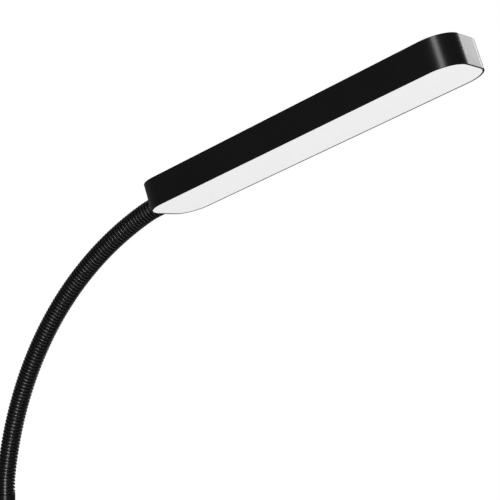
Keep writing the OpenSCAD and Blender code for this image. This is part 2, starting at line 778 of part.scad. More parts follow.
// One-piece shell, open below, with a thin rim round the light window and a step above it
module head_housing() {
    color(BLACK) in_head() difference() {
        slab(0, 0, head_h);
        slab(rim_t, -eps, diffuser_t + seat_gap);
        slab(head_wall, 0, head_top);
        rod_x(neck_screw_d + 2 * seat_gap, -eps, head_wall + eps, 0, neck_axis_h);
        at_board_screws()
            cylinder(d = board_screw_d + 2 * thread_gap, h = head_top + board_screw_in_roof + pass_gap);
    }
}

module led_board() {
    color(WHITE) in_head() difference() {
        slab(board_inset, board_under, head_top);
        at_board_screws() cylinder(d = board_screw_d + 2 * seat_gap, h = head_h);
    }
}

// Places of the light chips, in two rows
module at_chips() {
    step = (head_l - 2 * chip_end) / (chips - 1);
    for (i = [0:chips - 1], y = [-1, 1]) translate([chip_end + i * step, y * chip_row_y, 0]) children();
}

// A block centred on its place, between two heights
module chip_block(size, z0, z1) {
    translate([-size[0] / 2, -size[1] / 2, z0]) cube([size[0], size[1], z1 - z0]);
}

module led_chips() {
    color(PHOSPHOR) in_head() at_chips()
        chip_block([chip_l, chip_w], board_under - chip_h, board_under);
}

// White sheet under the board, with windows for the chips, the screws and the wire's plug
module reflector_sheet() {
    window = [chip_l + 2 * pass_gap, chip_w + 2 * pass_gap];
    color(WHITE) in_head() difference() {
        slab(board_inset, reflector_z, board_under);
        at_chips() chip_block(window, reflector_z - eps, board_under + eps);
        at_board_screws() translate([0, 0, reflector_z - eps])
            cylinder(d = board_screw_head_d + 2 * pass_gap, h = reflector_t + 2 * eps);
        translate([plug_from_end - pass_gap, -connector[1] / 2 - pass_gap, reflector_z - eps])
            cube([connector[0] + 2 * pass_gap, connector[1] + 2 * pass_gap, reflector_t + 2 * eps]);
    }
}

module diffuser() {
    color(WHITE) in_head() slab(rim_t + seat_gap, 0, diffuser_t);
}

module board_screws() {
    color(STEEL) in_head() at_board_screws() {
        translate([0, 0, board_under - board_screw_head_h]) {
            cylinder(d = board_screw_head_d, h = board_screw_head_h);
            cylinder(d = board_screw_d, h = board_screw_head_h + led_board_t + board_screw_in_roof);
        }
    }
}

module head_connector() {
    color(WHITE) in_head() translate([plug_from_end, -connector[1] / 2, connector_z]) cube(connector);
}

anti_slip_pad();
base_weight();
base_cover();
base_washer();
base_nut();
base_screw();
base_collar();
dc_jack();
dc_jack_pin();
pole_lower();
pole_middle();
pole_upper();
pole_inserts();
pole_screws();
supply_wire();
control_nut();
control_housing();
control_board();
driver_parts();
switch_bodies();
power_button();
mode_button();
control_cap();
cap_screws();
ferrule();
ferrule_screw();
ferrule_nut();
neck_root();
for (k = [1:LINKS]) neck_link(k);
neck_core();
lamp_wire();
neck_tip();
head_screw();
head_nut();
head_housing();
led_board();
led_chips();
reflector_sheet();
diffuser();
board_screws();
head_connector();
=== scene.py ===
# %% [markdown]
# # A reading floor lamp
#
# The lamp is a heavy round base, a thin pole in three lengths, a control housing with two push
# buttons, a ribbed neck that bends and keeps its bend, and a long flat head with a milky light
# window underneath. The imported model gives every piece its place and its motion, so this lesson
# only dresses it: it sets the camera and the studio, mixes the finishes, and makes finer surfaces
# for the pieces whose edges and ribs matter to the eye.

import json
import math

import bmesh
import bpy
import numpy as np
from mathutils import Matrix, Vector


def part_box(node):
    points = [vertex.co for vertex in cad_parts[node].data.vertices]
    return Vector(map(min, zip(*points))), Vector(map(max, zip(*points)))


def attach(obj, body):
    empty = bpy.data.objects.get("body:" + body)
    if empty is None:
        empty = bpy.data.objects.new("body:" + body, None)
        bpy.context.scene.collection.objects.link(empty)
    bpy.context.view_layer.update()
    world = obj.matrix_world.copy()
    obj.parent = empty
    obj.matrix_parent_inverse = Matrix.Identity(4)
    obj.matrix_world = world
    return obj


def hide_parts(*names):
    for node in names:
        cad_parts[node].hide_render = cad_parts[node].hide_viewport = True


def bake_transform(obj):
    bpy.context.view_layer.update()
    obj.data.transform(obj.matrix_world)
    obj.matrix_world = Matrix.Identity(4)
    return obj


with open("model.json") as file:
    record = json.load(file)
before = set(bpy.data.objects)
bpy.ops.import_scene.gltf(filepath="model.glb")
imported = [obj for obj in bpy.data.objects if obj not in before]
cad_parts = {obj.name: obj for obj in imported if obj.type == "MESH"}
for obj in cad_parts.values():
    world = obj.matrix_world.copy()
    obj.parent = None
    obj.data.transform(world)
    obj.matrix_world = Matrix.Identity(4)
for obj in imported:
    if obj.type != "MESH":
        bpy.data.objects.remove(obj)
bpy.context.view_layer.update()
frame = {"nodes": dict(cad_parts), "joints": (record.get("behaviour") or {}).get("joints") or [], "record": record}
JOINTS = {joint["name"]: joint for joint in frame["joints"]}
SLOT_OF = {part["node"]: part["material_slot"] for part in frame["record"]["subparts"]}
print(f"{len(frame['nodes'])} CAD nodes, {len(JOINTS)} joints")

# %% [markdown]
# ## The camera
#
# The photograph is taken from close by, a little above the height where the neck starts, and shows
# only the head and the neck. Lines that are parallel on the head run together in it, so the camera's
# distance matters as much as its direction. The values below come from fitting the head's corners
# and the neck's outline. The camera looks along a heading, an angle from +Y towards +X, and a pitch
# above the horizon.

# %% Camera
CAMERA_PLACE = Vector((0.6823, -0.6143, 1.3121))
CAMERA_HEADING = -0.6220
CAMERA_PITCH = -0.0177
CAMERA_LENS = 80.5
CAMERA_NEAREST = 0.01


def direction(heading, pitch):
    """Unit vector at a heading from +Y towards +X and a pitch above the horizon, in radians."""
    return Vector((
        math.sin(heading) * math.cos(pitch),
        math.cos(heading) * math.cos(pitch),
        math.sin(pitch),
    ))


def look(thing, place, aim):
    """Puts a camera or lamp at a place and turns its -Z along a direction, with its +Y upwards."""
    thing.location = place
    thing.rotation_euler = aim.to_track_quat("-Z", "Y").to_euler()
    bpy.context.scene.collection.objects.link(thing)
    return thing


camera = bpy.data.objects.new("camera", bpy.data.cameras.new("camera"))
camera.data.lens = CAMERA_LENS
camera.data.clip_start = CAMERA_NEAREST
look(camera, CAMERA_PLACE, direction(CAMERA_HEADING, CAMERA_PITCH))
bpy.context.scene.camera = camera
bpy.context.scene.view_settings.view_transform = "Standard"
print("camera", tuple(round(c, 3) for c in camera.location))

# %% [markdown]
# ## Shader maths as Python
#
# A shader is a graph of nodes, and graphs made node by node are hard to read. `Value` wraps one
# output socket and gives it Python's arithmetic, so that `1 - mask * 0.3` adds the Math nodes by
# itself. `Finish` is a material under construction. Its one method `node` adds any node: the node's
# settings are set first, then each input gets a number or a link.

# %% Value
class Value:
    """A number or colour that varies over a surface: one output socket, with Python's arithmetic."""

    def __init__(self, finish, socket):
        self.finish = finish
        self.socket = socket

    def maths(self, operation, first, second):
        """One Math node with two inputs."""
        return self.finish.node("ShaderNodeMath", {"operation": operation}, {0: first, 1: second})

    def __add__(self, other):
        return self.maths("ADD", self, other)

    def __sub__(self, other):
        return self.maths("SUBTRACT", self, other)

    def __rsub__(self, other):
        return self.maths("SUBTRACT", other, self)

    def __mul__(self, other):
        return self.maths("MULTIPLY", self, other)

    __radd__ = __add__
    __rmul__ = __mul__


# %% [markdown]
# A Mix node keeps a set of sockets for each kind of data, and they share their names. Its sockets
# for colours are therefore called by their numbers.

# %% Finish
MIX_FACTOR, MIX_LOW, MIX_HIGH, MIX_RESULT = 0, 6, 7, 2


class Finish:
    """A material or a world under construction."""

    def __init__(self, name, owner=None):
        self.material = owner or bpy.data.materials.new(name)
        self.material.use_nodes = True
        self.tree = self.material.node_tree
        self.tree.nodes.clear()

    def node(self, kind, settings=None, inputs=None, output=0):
        """Any node: its settings are set, its inputs get numbers or links, and one output comes back."""
        node = self.tree.nodes.new(kind)
        for key, setting in (settings or {}).items():
            setattr(node, key, setting)
        for key, given in (inputs or {}).items():
            if isinstance(given, Value):
                self.tree.links.new(given.socket, node.inputs[key])
            else:
                node.inputs[key].default_value = given
        return Value(self, node.outputs[output]) if node.outputs else None

    def place(self):
        """The point on the piece, in metres."""
        return self.node("ShaderNodeTexCoord", output="Object")

    def noise(self, size, detail=3.0, vector=None):
        """Soft noise from 0 to 1 with spots of a given size in metres."""
        inputs = {"Vector": vector or self.place(), "Scale": 1 / size, "Detail": detail}
        return self.node("ShaderNodeTexNoise", None, inputs)

    def mix(self, share, low, high):
        """A colour between two, by a share from 0 to 1."""
        settings = {"data_type": "RGBA", "clamp_factor": True}
        inputs = {MIX_FACTOR: share, MIX_LOW: low, MIX_HIGH: high}
        return self.node("ShaderNodeMix", settings, inputs, output=MIX_RESULT)

    def between(self, value, low, high, new_low=0.0, new_high=1.0):
        """A value's stretch from low to high, moved to a new range and held inside it."""
        old = {"Value": value, "From Min": low, "From Max": high}
        new = {"To Min": new_low, "To Max": new_high}
        return self.node("ShaderNodeMapRange", {"clamp": True}, {**old, **new})

    def bump(self, height, depth):
        """A normal bent by a height from 0 to 1 that stands for a depth in metres."""
        return self.node("ShaderNodeBump", None, {"Height": height, "Distance": depth}, output="Normal")

    def surface(self, inputs):
        """Ends the material with a Principled shader and returns the material."""
        shader = self.node("ShaderNodeBsdfPrincipled", None, inputs)
        self.node("ShaderNodeOutputMaterial", None, {"Surface": shader})
        return self.material


def grey(level, warmth=0.0):
    """A grey with a little more red and less blue by its warmth."""
    return (level * (1 + warmth), level, level * (1 - warmth), 1.0)


# %% [markdown]
# ## The studio
#
# The photograph's background is plain white, and its black surfaces tell where the lights stood. A
# tall strip of light in front and a little to the left draws the bright line on the head's rounded
# corner and the row of glints down the neck. A panel behind makes the head's flat end pale. The
# world answers each kind of ray in its own way. To the camera, and through clear surfaces, it is
# plain white. To rough surfaces it is an even soft light. What the black paint mirrors of it is dim,
# but for two round glows with soft edges: a white one high up behind the lamp, and a broad faint one
# to the left.

# %% World
LIGHT_PATHS = ("Camera", "Glossy", "Transmission")
WORLD_LEVEL = 0.50
DIM_LEVEL = 0.03
GLOWS = [
    {"heading": -15, "pitch": 38, "edges": (0.90, 0.98), "level": 1.0},
    {"heading": -75, "pitch": 5, "edges": (0.55, 0.90), "level": 0.09},
]


def glow(sky, heading, pitch, edges, level):
    """A soft-edged round patch of light. The ray times the direction of the patch's centre, as a dot
    product, is the cosine of the angle between them, and the light grows from edge to edge of it."""
    aim = direction(math.radians(heading), math.radians(pitch))
    ray = sky.node("ShaderNodeTexCoord", output="Generated")
    product = {"operation": "DOT_PRODUCT"}
    facing = sky.node("ShaderNodeVectorMath", product, {0: ray, 1: aim}, output="Value")
    return sky.between(facing, *edges, 0.0, level)


def studio_world():
    """The world: white to direct rays, dim with glows to mirrored ones, even to all others."""
    world = bpy.data.worlds.new("studio")
    bpy.context.scene.world = world
    sky = Finish("studio", world)
    mirrored = sum((glow(sky, **patch) for patch in GLOWS), DIM_LEVEL)
    rays = {kind: sky.node("ShaderNodeLightPath", output=f"Is {kind} Ray") for kind in LIGHT_PATHS}
    direct = sky.between(rays["Camera"] + rays["Transmission"], 0.0, 1.0)
    light = WORLD_LEVEL + (mirrored - WORLD_LEVEL) * rays["Glossy"]
    level = light + (1 - light) * direct
    shader = sky.node("ShaderNodeBackground", None, {"Color": grey(1.0), "Strength": level})
    sky.node("ShaderNodeOutputWorld", None, {"Surface": shader})
    return world


print("world", studio_world().name)

# %% [markdown]
# An area lamp's power is spread over its face, so the same power looks dimmer on a larger lamp. The
# helper below takes the brightness that a reflection of the lamp should have, and works the power
# out from the area.

# %% Lamps
def lamp(name, centre, aim_at, width, height, brightness):
    """A rectangular lamp whose face has a given brightness, hidden from the camera."""
    data = bpy.data.lights.new(name, "AREA")
    data.shape = "RECTANGLE"
    data.size = width
    data.size_y = height
    data.energy = brightness * width * height * math.pi
    light = bpy.data.objects.new(name, data)
    light.visible_camera = False
    return look(light, centre, (aim_at - centre).normalized())


STRIP_AIM = Vector((0.30, 0.0, 1.55))
STRIP_HEADING = math.radians(149)
STRIP_AWAY = 2.2
STRIP = {"width": 0.64, "height": 3.1, "brightness": 6.6}
lamp("front_strip", STRIP_AIM + STRIP_AWAY * direction(STRIP_HEADING, 0.0), STRIP_AIM, **STRIP)

PANEL_AIM = Vector((0.72, 0.0, 2.4))
PANEL_HEADING = 0.0
PANEL_AWAY = 2.2
PANEL = {"width": 0.76, "height": 1.45, "brightness": 4.3}
lamp("back_panel", PANEL_AIM + PANEL_AWAY * direction(PANEL_HEADING, 0.0), PANEL_AIM, **PANEL)

# %% [markdown]
# The floor is a pale disc that fades into the white background, so that no horizon shows. It is part
# of the studio and not of the lamp.

# %% Floor
FLOOR_RADIUS = 0.75
FLOOR_FADE = (0.15, 0.70)
FLOOR_CORNERS = 96
FLOOR_CLOUDS = 0.4
FLOOR_TONES = (0.80, 0.84)


def floor_material():
    """Pale and rough in the middle, and clearer with the distance from it."""
    finish = Finish("pale_floor")
    length = {"operation": "LENGTH"}
    distance = finish.node("ShaderNodeVectorMath", length, {0: finish.place()}, output="Value")
    fade = finish.between(distance, *FLOOR_FADE)
    tone = finish.mix(finish.noise(FLOOR_CLOUDS), *map(grey, FLOOR_TONES))
    solid = finish.node("ShaderNodeBsdfDiffuse", None, {"Color": tone})
    clear = finish.node("ShaderNodeBsdfTransparent")
    blend = finish.node("ShaderNodeMixShader", None, {0: fade, 1: solid, 2: clear})
    finish.node("ShaderNodeOutputMaterial", None, {"Surface": blend})
    return finish.material


def floor_disc():
    """One flat face whose corners lie on a circle: the radius times the turn's cosine and sine."""
    mesh = bpy.data.meshes.new("floor")
    turn = np.linspace(0, 2 * np.pi, FLOOR_CORNERS, endpoint=False)
    rim = np.stack([FLOOR_RADIUS * np.cos(turn), FLOOR_RADIUS * np.sin(turn), 0 * turn], axis=1)
    mesh.from_pydata(rim.tolist(), [], [list(range(len(turn)))])
    mesh.materials.append(floor_material())
    floor = bpy.data.objects.new("floor", mesh)
    bpy.context.scene.collection.objects.link(floor)
    return floor


print("floor", floor_disc().dimensions[:])

# %% [markdown]
# ## Finishes
#
# Nearly all of the lamp is black, and each black is another process: sprayed powder paint on the
# steel pole and base, a finer paint on the aluminium head, a harder coat on the neck's steel. What
# tells them apart is the grain in their reflections, so each has its own bump, and its roughness
# wanders a little as it does after handling. Noise seldom comes near 0 or 1, so a finish stretches
# the middle of its range over the whole change that it makes.

# %% Black finishes
MIDDLE = (0.3, 0.7)
HAND_MARKS = 0.05
RUBBED_SPOTS = 0.02
STEEL_GRAIN = 0.0004


def painted(name, level, roughness, grain, depth):
    """Sprayed paint. Its orange peel is seven tenths of one noise and three tenths of another, four
    times finer. Its tone and roughness wander with the marks of hands."""
    finish = Finish(name)
    marks = finish.noise(HAND_MARKS, detail=2.0)
    peel = 0.7 * finish.noise(grain, detail=2.0) + 0.3 * finish.noise(grain / 4, detail=1.0)
    return finish.surface({
        "Base Color": finish.mix(marks, grey(level * 0.85), grey(level * 1.15)),
        "Roughness": finish.between(marks, *MIDDLE, roughness - 0.03, roughness + 0.04),
        "Specular IOR Level": 0.45,
        "Normal": finish.bump(peel, depth),
    })


def neck_coat(name):
    """Blackened steel: dull beside the crests, and with a glossy coat where hands rub them. The
    coat's strength is the crest's number times a share that wanders between 0.8 and 1."""
    finish = Finish(name)
    crest = finish.node("ShaderNodeAttribute", {"attribute_name": "crest"}, output="Fac")
    rubbed = crest * finish.between(finish.noise(RUBBED_SPOTS), *MIDDLE, 0.8, 1.0)
    return finish.surface({
        "Base Color": finish.mix(rubbed, grey(0.005), grey(0.004)),
        "Roughness": 0.55 - 0.10 * rubbed,
        "IOR": 1.25,
        "Coat Weight": rubbed,
        "Coat IOR": 2.3,
        "Coat Roughness": 0.24,
        "Normal": finish.bump(finish.noise(STEEL_GRAIN), 0.000002),
    })


PAINTS = {
    "satin_black_paint": {"level": 0.0064, "roughness": 0.28, "grain": 0.0009, "depth": 0.000003},
    "satin_black_aluminium": {"level": 0.0058, "roughness": 0.26, "grain": 0.0006, "depth": 0.000002},
}
BLACK = {name: painted(name, **values) for name, values in PAINTS.items()}
BLACK["black_neck_steel"] = neck_coat("black_neck_steel")
print("black finishes", sorted(BLACK))

# %% [markdown]
# Bare metals share one recipe: a metallic colour, a brushed grain stretched along one direction, and
# blotches where the surface has dulled. Stretching is done by scaling the point before it goes into
# the noise, so the spots become streaks.

# %% Metals
BRUSHED_GRAIN = 0.001
DULL_SPOTS = 0.012
CAST_LUMPS = 0.002
CAST_GRIT = 0.0005


def metal(name, low, high, roughness, streak, depth):
    """Bare metal between two colours. The grain's point is multiplied by the streak, one number for
    each axis, so its spots are long where that number is small."""
    finish = Finish(name)
    drawn = finish.node("ShaderNodeMapping", None, {"Vector": finish.place(), "Scale": streak})
    grain = finish.noise(BRUSHED_GRAIN, detail=2.0, vector=drawn)
    dull = finish.noise(DULL_SPOTS)
    worn = 0.6 * dull + 0.4 * grain
    return finish.surface({
        "Base Color": finish.mix(dull, low, high),
        "Metallic": 1.0,
        "Roughness": finish.between(worn, *MIDDLE, roughness - 0.08, roughness + 0.12),
        "Normal": finish.bump(grain, depth),
    })


def cast(name):
    """Sand-cast iron: dark grey, lumpy at 2 mm and gritty at half a millimetre."""
    finish = Finish(name)
    lumps = finish.noise(CAST_LUMPS, detail=4.0)
    grit = finish.noise(CAST_GRIT, detail=2.0)
    return finish.surface({
        "Base Color": finish.mix(lumps, grey(0.055, 0.05), grey(0.12)),
        "Metallic": 0.6,
        "Roughness": finish.between(grit, 0.2, 0.8, 0.55, 0.8),
        "Normal": finish.bump(0.6 * lumps + 0.4 * grit, 0.00025),
    })


BRUSHED = {
    "spring_steel": {
        "low": grey(0.16),
        "high": grey(0.30),
        "roughness": 0.38,
        "streak": (1, 1, 6),
        "depth": 0.000010,
    },
    "zinc_steel": {
        "low": grey(0.52, -0.02),
        "high": grey(0.68, 0.02),
        "roughness": 0.32,
        "streak": (1, 1, 8),
        "depth": 0.000008,
    },
    "contact_brass": {
        "low": (0.62, 0.43, 0.16, 1),
        "high": (0.80, 0.62, 0.30, 1),
        "roughness": 0.25,
        "streak": (1, 8, 8),
        "depth": 0.000004,
    },
}
METALS = {name: metal(name, **values) for name, values in BRUSHED.items()}
METALS["cast_iron"] = cast("cast_iron")
print("metals", sorted(METALS))

# %% [markdown]
# The plastics differ by the texture of their moulds, the rubber ring by its coarse pebble, and the
# circuit board by the tracks that show through its green coat.

# %% Plastics, rubber and boards
TINT_CLOUDS = 0.015
COAT_CLOUDS = 0.004
TRACKS = {"Scale": 260.0, "Mortar Size": 0.09, "Bias": 0.0, "Brick Width": 0.9}
TRACK_DEPTH = 0.00003


def moulded(name, tones, roughness, grain, depth, warmth=0.0):
    """Moulded plastic or rubber between two greys, with the mould's grain."""
    finish = Finish(name)
    tint = finish.noise(TINT_CLOUDS, detail=2.0)
    skin = finish.noise(grain, detail=2.0)
    return finish.surface({
        "Base Color": finish.mix(tint, *(grey(tone, warmth) for tone in tones)),
        "Roughness": finish.between(skin, 0.25, 0.75, roughness - 0.05, roughness + 0.05),
        "Normal": finish.bump(skin, depth),
    })


def tracked_board(name, coat, track):
    """Circuit board: straight tracks under a coat, drawn by a brick pattern."""
    finish = Finish(name)
    quarter_turn = {"Vector": finish.place(), "Rotation": (0, math.pi / 2, 0)}
    upright = finish.node("ShaderNodeMapping", None, quarter_turn)
    lines = finish.node("ShaderNodeTexBrick", None, {"Vector": upright, **TRACKS}, output="Fac")
    return finish.surface({
        "Base Color": finish.mix(lines, coat, track),
        "Roughness": finish.between(finish.noise(COAT_CLOUDS), *MIDDLE, 0.22, 0.34),
        "Normal": finish.bump(lines, TRACK_DEPTH),
    })


MOULDED = {
    "pad_rubber": {"tones": (0.016, 0.028), "roughness": 0.75, "grain": 0.0016, "depth": 0.00012},
    "inlet_plastic": {"tones": (0.014, 0.022), "roughness": 0.45, "grain": 0.0006, "depth": 0.00002},
    "wire_jacket": {"tones": (0.022, 0.034), "roughness": 0.40, "grain": 0.0010, "depth": 0.00001},
    "button_plastic": {"tones": (0.024, 0.034), "roughness": 0.38, "grain": 0.0004, "depth": 0.00001},
    "electronic_parts": {"tones": (0.04, 0.09), "roughness": 0.50, "grain": 0.0007, "depth": 0.00003},
    "white_sheet": {"tones": (0.84, 0.90), "roughness": 0.55, "grain": 0.0012, "depth": 0.00002},
    "plug_plastic": {
        "tones": (0.76, 0.84),
        "warmth": 0.02,
        "roughness": 0.45,
        "grain": 0.0006,
        "depth": 0.00002,
    },
}
PLASTICS = {name: moulded(name, **values) for name, values in MOULDED.items()}
GREEN_COAT, GREEN_TRACK = (0.012, 0.09, 0.04, 1), (0.05, 0.22, 0.09, 1)
PLASTICS["circuit_board"] = tracked_board("circuit_board", GREEN_COAT, GREEN_TRACK)
PLASTICS["light_board"] = tracked_board("light_board", grey(0.84), grey(0.74))
print("plastics", sorted(PLASTICS))

# %% [markdown]
# The light window is opal plastic lit evenly from inside. In the photograph it is one flat pale
# tone, which is what a good diffuser gives. About half of its tone is its own light, the same all
# over, and the rest comes from the studio. The chips behind it glow as well.

# %% Light window and chips
OPAL_CLOUDS = 0.004


def glowing(name, low, high, glow, strength, roughness):
    """A surface between two colours that also gives light of its own."""
    finish = Finish(name)
    cloud = finish.noise(OPAL_CLOUDS)
    return finish.surface({
        "Base Color": finish.mix(cloud, low, high),
        "Roughness": finish.between(cloud, *MIDDLE, roughness - 0.04, roughness + 0.04),
        "Emission Color": glow,
        "Emission Strength": strength,
    })


GLOWING = {
    "milky_window": {
        "low": grey(0.78),
        "high": grey(0.82),
        "glow": grey(1.0),
        "strength": 0.41,
        "roughness": 0.45,
    },
    "light_chips": {
        "low": (0.86, 0.62, 0.14, 1),
        "high": (0.92, 0.74, 0.26, 1),
        "glow": (1, 0.93, 0.75, 1),
        "strength": 2.0,
        "roughness": 0.3,
    },
}
LIGHTS = {name: glowing(name, **values) for name, values in GLOWING.items()}
FINISHES = {**BLACK, **METALS, **PLASTICS, **LIGHTS}
for node, slot in SLOT_OF.items():
    materials = frame["nodes"][node].data.materials
    materials.clear()
    materials.append(FINISHES[slot])
print(f"{len(SLOT_OF)} nodes dressed in {len(FINISHES)} finishes")

# %% [markdown]
# ## Surfaces from arrays
#
# Every new piece is a grid of points: rows along one parameter, columns along the other. The grid is
# joined with four-sided faces, its coinciding points are merged so that poles and seams are closed,
# and its faces are turned outwards. Edges sharper than a given angle stay crisp. A number from 0 to
# 1, the crest, can go with the points. Only the neck has it: there it marks where hands rub the ribs,
# and the neck's coat reads it.

# %% Grid to piece
SHARP = math.radians(40)
SAME_POINT = 1e-6
BODY_OF = {n: body for body, nodes in frame["record"]["behaviour"]["bodies"].items() for n in nodes}


def faces_of_grid(rows, columns, wrap_rows):
    """Corner numbers of the faces between neighbouring rows and columns. Columns always go round."""
    i = np.arange(rows if wrap_rows else rows - 1)[:, None]
    j = np.arange(columns)[None, :]
    up = (i + 1) % rows
    on = (j + 1) % columns
    corners = [i * columns + j, up * columns + j, up * columns + on, i * columns + on]
    return np.stack(np.broadcast_arrays(*corners), axis=-1).reshape(-1, 4)


def finished(name, slot, mesh, shape):
    """Puts a bmesh into a mesh, shades it and hands it over as a piece with the finish of a slot."""
    shape.to_mesh(mesh)
    shape.free()
    mesh.shade_smooth()
    mesh.set_sharp_from_angle(angle=SHARP)
    mesh.materials.clear()
    mesh.materials.append(FINISHES[slot])
    made = bpy.data.objects.new(name, mesh)
    bpy.context.scene.collection.objects.link(made)
    return made


def piece(name, slot, points, wrap_rows=True, crest=None):
    """A closed piece from a grid of points, with the finish of a slot."""
    rows, columns = points.shape[:2]
    faces = faces_of_grid(rows, columns, wrap_rows)
    mesh = bpy.data.meshes.new(name)
    mesh.from_pydata(points.reshape(-1, 3).tolist(), [], faces.tolist())
    if crest is not None:
        layer = mesh.attributes.new("crest", "FLOAT", "POINT")
        layer.data.foreach_set("value", np.repeat(crest, columns).astype(np.float32))
    shape = bmesh.new()
    shape.from_mesh(mesh)
    bmesh.ops.remove_doubles(shape, verts=shape.verts, dist=SAME_POINT)
    bmesh.ops.recalc_face_normals(shape, faces=shape.faces)
    if shape.calc_volume(signed=True) < 0:
        bmesh.ops.reverse_faces(shape, faces=shape.faces)
    return finished(name, slot, mesh, shape)


def stands_for(made, node):
    """Rides a piece on the body of the CAD node that it replaces."""
    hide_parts(node)
    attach(made, BODY_OF[node])
    return made


print("bodies that move:", len(set(BODY_OF.values())))

# %% [markdown]
# Real edges are never razor sharp, and the thin light lines that rounded edges catch are much of
# what makes a thing look real. `rounded` swaps each corner of an outline for an arc. Just before and
# after each arc it keeps a guard point on the straight stretch, so that the arc's smooth shading
# doesn't spread over the flat face beside it.

# %% Rounded outlines
GUARD = 0.00005
GUARD_SHARE = 0.25


def rounded(outline, radii, closed=True, steps=6):
    """An outline with its corners swapped for arcs. An arc touches its two sides at the radius times
    the tangent of half the turn. Its points are the centre plus the radius, swung from one side to
    the other."""
    corner = np.asarray(outline, float)
    radius = np.broadcast_to(np.asarray(radii, float), len(corner)).copy()
    if not closed:
        radius[[0, -1]] = 0
    side = np.roll(corner, -1, axis=0) - corner
    length = np.linalg.norm(side, axis=1)
    ahead = side / length[:, None]
    back = np.roll(ahead, 1, axis=0)
    cross = back[:, 0] * ahead[:, 1] - back[:, 1] * ahead[:, 0]
    turn = np.arctan2(cross, (back * ahead).sum(axis=1))
    reach = radius * np.tan(np.abs(turn) / 2)
    straight = length - reach - np.roll(reach, -1)
    guard_on = np.minimum(GUARD, GUARD_SHARE * straight)[:, None]
    guard_back = np.roll(guard_on, 1, axis=0)
    spoke = -np.sign(turn)[:, None] * np.stack([-back[:, 1], back[:, 0]], axis=1)
    centre = corner - back * reach[:, None] - spoke * radius[:, None]
    swing = np.linspace(0, 1, steps)[None, :] * turn[:, None]
    swung = np.stack([
        spoke[:, :1] * np.cos(swing) - spoke[:, 1:] * np.sin(swing),
        spoke[:, :1] * np.sin(swing) + spoke[:, 1:] * np.cos(swing),
    ], axis=2)
    arc = centre[:, None, :] + radius[:, None, None] * swung
    before = arc[:, :1] - (back * guard_back)[:, None, :]
    after = arc[:, -1:] + (ahead * guard_on)[:, None, :]
    points = np.concatenate([before, arc, after], axis=1)
    if not closed:
        points = np.concatenate([corner[:1], points[1:-1].reshape(-1, 2), corner[-1:]])
    return points.reshape(-1, 2)


print("points on a rounded square:", len(rounded([(0, 0), (1, 0), (1, 1), (0, 1)], 0.1)))

# %% [markdown]
# ## Turned pieces
#
# The collar at the pole's foot, the three pole sections, the cap on the control housing and the
# ferrule that holds the neck are all round, and on the real lamp they come off a lathe or out of a
# tube mill. Each is a profile turned about the upright axis. A profile is a list of corners, each a
# radius and a height above the piece's foot in millimetres, and each corner has a radius of its own.

# %% Profiles turned about the upright axis
TURNED_COLUMNS = 72


def turned(node, profile, radii):
    """A piece for a CAD node: a profile carried once round the upright axis. A point's two level
    coordinates are its radius times the turn's cosine and sine."""
    outline = np.asarray(profile) / 1000 + [0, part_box(node)[0].z]
    points = rounded(outline, np.asarray(radii) / 1000)
    around = np.linspace(0, 2 * np.pi, TURNED_COLUMNS, endpoint=False)[None, :]
    radius, height = points[:, :1], points[:, 1:]
    grid = np.broadcast_arrays(radius * np.cos(around), radius * np.sin(around), height)
    made = piece(f"{node}_turned", SLOT_OF[node], np.stack(grid, axis=-1))
    return stands_for(made, node)


# %% [markdown]
# The sections of the pole are plain tubes. The small rounds at their ends draw the fine dark joints
# between them.

# %% Pole
SECTION_BORE, SECTION_RADIUS, SECTION_LENGTH = 8.5, 9.5, 330
SECTION = [
    (SECTION_BORE, 0),
    (SECTION_RADIUS, 0),
    (SECTION_RADIUS, SECTION_LENGTH),
    (SECTION_BORE, SECTION_LENGTH),
]
SECTIONS = ("pole_lower", "pole_middle", "pole_upper")
round_pieces = [turned(node, SECTION, (0.1, 0.4, 0.4, 0.1)) for node in SECTIONS]
print("pole sections", [round(1000 * made.dimensions.z, 1) for made in round_pieces])

# %% [markdown]
# The collar widens to its foot, and the pole stands in its socket. The cap sits in the control
# housing with a spigot. The ferrule is a sleeve that the neck's foot goes into.

# %% Collar
COLLAR_BORE, COLLAR_SOCKET, COLLAR_LIP, COLLAR_FOOT = 5.3, 9.6, 12.5, 17
COLLAR_FOOT_HEIGHT, COLLAR_FLOOR, COLLAR_HEIGHT = 2, 4, 14
COLLAR = [
    (COLLAR_BORE, 0),
    (COLLAR_FOOT, 0),
    (COLLAR_FOOT, COLLAR_FOOT_HEIGHT),
    (COLLAR_LIP, COLLAR_HEIGHT),
    (COLLAR_SOCKET, COLLAR_HEIGHT),
    (COLLAR_SOCKET, COLLAR_FLOOR),
    (COLLAR_BORE, COLLAR_FLOOR),
]
round_pieces.append(turned("base_collar", COLLAR, (0, 0.2, 0.8, 0.9, 0.2, 0, 0)))
print("collar", [round(1000 * d, 1) for d in round_pieces[-1].dimensions])

# %% Cap
CAP_BORE, CAP_SPIGOT, CAP_RADIUS = 4.3, 11.4, 13
CAP_SPIGOT_HEIGHT, CAP_HEIGHT = 5, 9
CAP = [
    (CAP_BORE, 0),
    (CAP_SPIGOT, 0),
    (CAP_SPIGOT, CAP_SPIGOT_HEIGHT),
    (CAP_RADIUS, CAP_SPIGOT_HEIGHT),
    (CAP_RADIUS, CAP_HEIGHT),
    (CAP_BORE, CAP_HEIGHT),
]
round_pieces.append(turned("control_cap", CAP, (0, 0, 0, 0.2, 1.2, 0.2)))
print("cap", [round(1000 * d, 1) for d in round_pieces[-1].dimensions])

